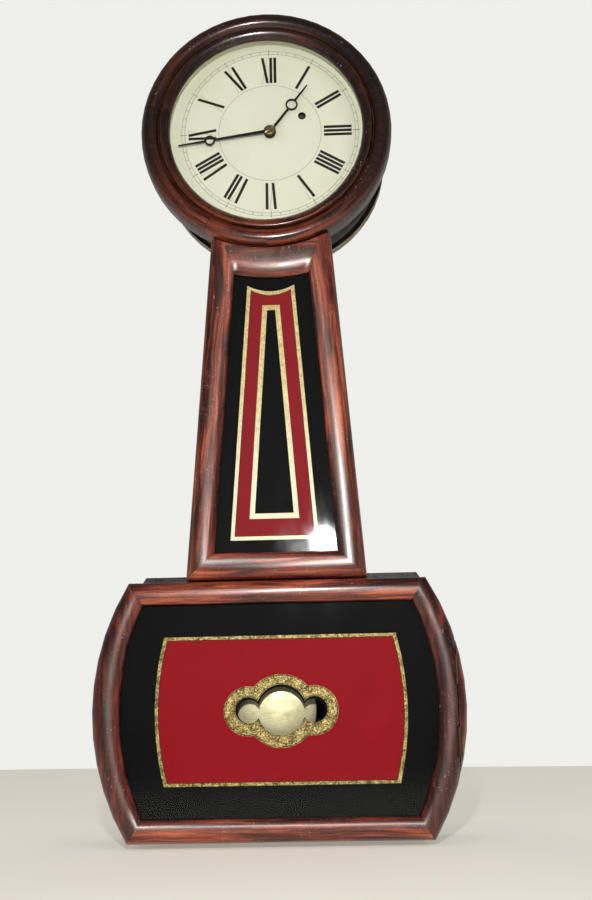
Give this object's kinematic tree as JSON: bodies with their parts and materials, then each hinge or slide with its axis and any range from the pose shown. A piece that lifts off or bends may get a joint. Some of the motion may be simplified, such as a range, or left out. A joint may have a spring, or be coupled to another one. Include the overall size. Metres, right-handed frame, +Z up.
{
  "type": "banjo clock",
  "caption": "Wall clock with a glazed round head over a roman dial, a tapering throat with a glazed panel and a bow-sided glazed lower box, driven by a weight and a pendulum.",
  "frame": {"origin": "on the plane of the wall, behind the middle of the dial's hands", "axes": "+X to the right as seen from the front, +Y into the wall, +Z up; the clock faces -Y"},
  "size_m": [0.3208, 0.0984, 0.738],
  "materials": {
    "rosewood": "glossy grained red-brown",
    "plain_wood": "bare aged softwood",
    "dark_paint": "dull dark paint",
    "glass": "clear",
    "dial_paint": "aged cream paint",
    "brass": "brushed",
    "steel": "brushed",
    "black_steel": "satin black",
    "iron": "dull grey",
    "line": "twisted gut"
  },
  "bodies": {
    "case": {"throat_side_left": "rosewood", "throat_side_right": "rosewood", "throat_frame": "rosewood", "box_side_left": "rosewood", "box_side_right": "rosewood", "box_top": "rosewood", "box_bottom": "rosewood", "hinge_stile": "rosewood", "back_board": "plain_wood", "throat_top_rail": "plain_wood", "weight_baffle": "plain_wood", "throat_glass": "glass", "bezel_hinge_fixed": "brass", "bezel_catch": "brass", "door_hinge_fixed_upper": "brass", "door_hinge_fixed_lower": "brass", "door_catch": "brass", "back_plate": "brass", "front_plate": "brass", "pillar_1": "brass", "pillar_2": "brass", "pillar_3": "brass", "pillar_4": "brass", "pendulum_cock": "brass", "movement_screw_1": "steel", "movement_screw_2": "steel", "line_stud": "steel", "hanger_plate": "iron", "head_ring": "dark_paint", "dial": "dial_paint", "weight_line": "line"},
    "bezel": {"bezel_ring": "rosewood", "bezel_glass": "glass", "bezel_hinge_moving": "brass"},
    "door": {"door_frame": "rosewood", "door_glass": "glass", "door_hinge_moving_upper": "brass", "door_hinge_moving_lower": "brass"},
    "great": {"great_wheel": "brass", "click": "steel", "click_spring": "steel"},
    "centre": {"centre_wheel": "brass"},
    "third": {"third_wheel": "brass"},
    "escape": {"escape_wheel": "brass"},
    "drum": {"winding_drum": "brass"},
    "weight": {"weight": "iron", "pulley_yoke": "iron"},
    "pulley": {"pulley": "brass"},
    "anchor": {"anchor": "steel", "crutch": "brass"},
    "pendulum": {"suspension_spring": "steel", "pendulum_rod": "steel", "pendulum_bob": "brass", "rating_nut": "brass"},
    "cannon": {"cannon_pinion": "steel", "minute_hand": "black_steel", "hand_nut": "brass"},
    "minute_wheel": {"minute_wheel": "brass"},
    "hour": {"hour_wheel": "brass", "hour_hand": "black_steel"}
  },
  "joints": [
    {"name": "bezel_hinge", "type": "hinge", "parent": "case", "child": "bezel", "pos_m": [0.0996, -0.0722, 0], "axis": [0, 0, 1], "range_deg": [0, 105]},
    {"name": "door_hinge", "type": "hinge", "parent": "case", "child": "door", "pos_m": [0.1478, -0.0954, -0.52025], "axis": [0, 0, 1], "range_deg": [0, 110]},
    {"name": "third_spin", "type": "hinge", "parent": "case", "child": "third", "pos_m": [-0.01, 0, 0.01866], "axis": [0, 1, 0], "continuous": true},
    {"name": "escape_spin", "type": "hinge", "parent": "case", "child": "escape", "pos_m": [0, 0, 0.03281], "axis": [0, 1, 0], "continuous": true},
    {"name": "centre_spin", "type": "hinge", "parent": "case", "child": "centre", "pos_m": [0, 0, 0], "axis": [0, 1, 0], "continuous": true},
    {"name": "great_spin", "type": "hinge", "parent": "case", "child": "great", "pos_m": [0.0299, 0, 0.0165], "axis": [0, 1, 0], "continuous": true},
    {"name": "weight_run", "type": "slide", "parent": "case", "child": "weight", "axis": [0, 0, 1], "range_m": [0, 0.36], "deforming": ["weight_line"]},
    {"name": "drum_spin", "type": "hinge", "parent": "case", "child": "drum", "pos_m": [0.0299, 0, 0.0165], "axis": [0, 1, 0], "continuous": true},
    {"name": "pulley_spin", "type": "hinge", "parent": "weight", "child": "pulley", "pos_m": [0, 0, -0.45], "axis": [0, 1, 0], "continuous": true},
    {"name": "pendulum_swing", "type": "hinge", "parent": "case", "child": "pendulum", "pos_m": [0, 0, 0.05473], "axis": [0, 1, 0], "range_deg": [-3.9, 2]},
    {"name": "anchor_rock", "type": "hinge", "parent": "case", "child": "anchor", "pos_m": [0, 0, 0.05473], "axis": [0, 1, 0], "range_deg": [-3.9, 2]},
    {"name": "hand_set", "type": "hinge", "parent": "case", "child": "cannon", "pos_m": [0, 0, 0], "axis": [0, 1, 0], "continuous": true},
    {"name": "minute_wheel_spin", "type": "hinge", "parent": "case", "child": "minute_wheel", "pos_m": [-0.01018, 0, -0.01018], "axis": [0, 1, 0], "continuous": true},
    {"name": "hour_spin", "type": "hinge", "parent": "case", "child": "hour", "pos_m": [0, 0, 0], "axis": [0, 1, 0], "continuous": true}
  ],
  "couplings": [
    {"joint": "escape_spin", "follows": "third_spin", "ratio": -8},
    {"joint": "centre_spin", "follows": "third_spin", "ratio": -0.1},
    {"joint": "great_spin", "follows": "third_spin", "ratio": 0.0083333},
    {"joint": "drum_spin", "follows": "weight_run", "rad_per_m": 277.78},
    {"joint": "pulley_spin", "follows": "weight_run", "rad_per_m": -44.053},
    {"joint": "anchor_rock", "follows": "pendulum_swing", "ratio": 1},
    {"joint": "minute_wheel_spin", "follows": "hand_set", "ratio": -0.33333},
    {"joint": "hour_spin", "follows": "hand_set", "ratio": 0.083333}
  ]
}
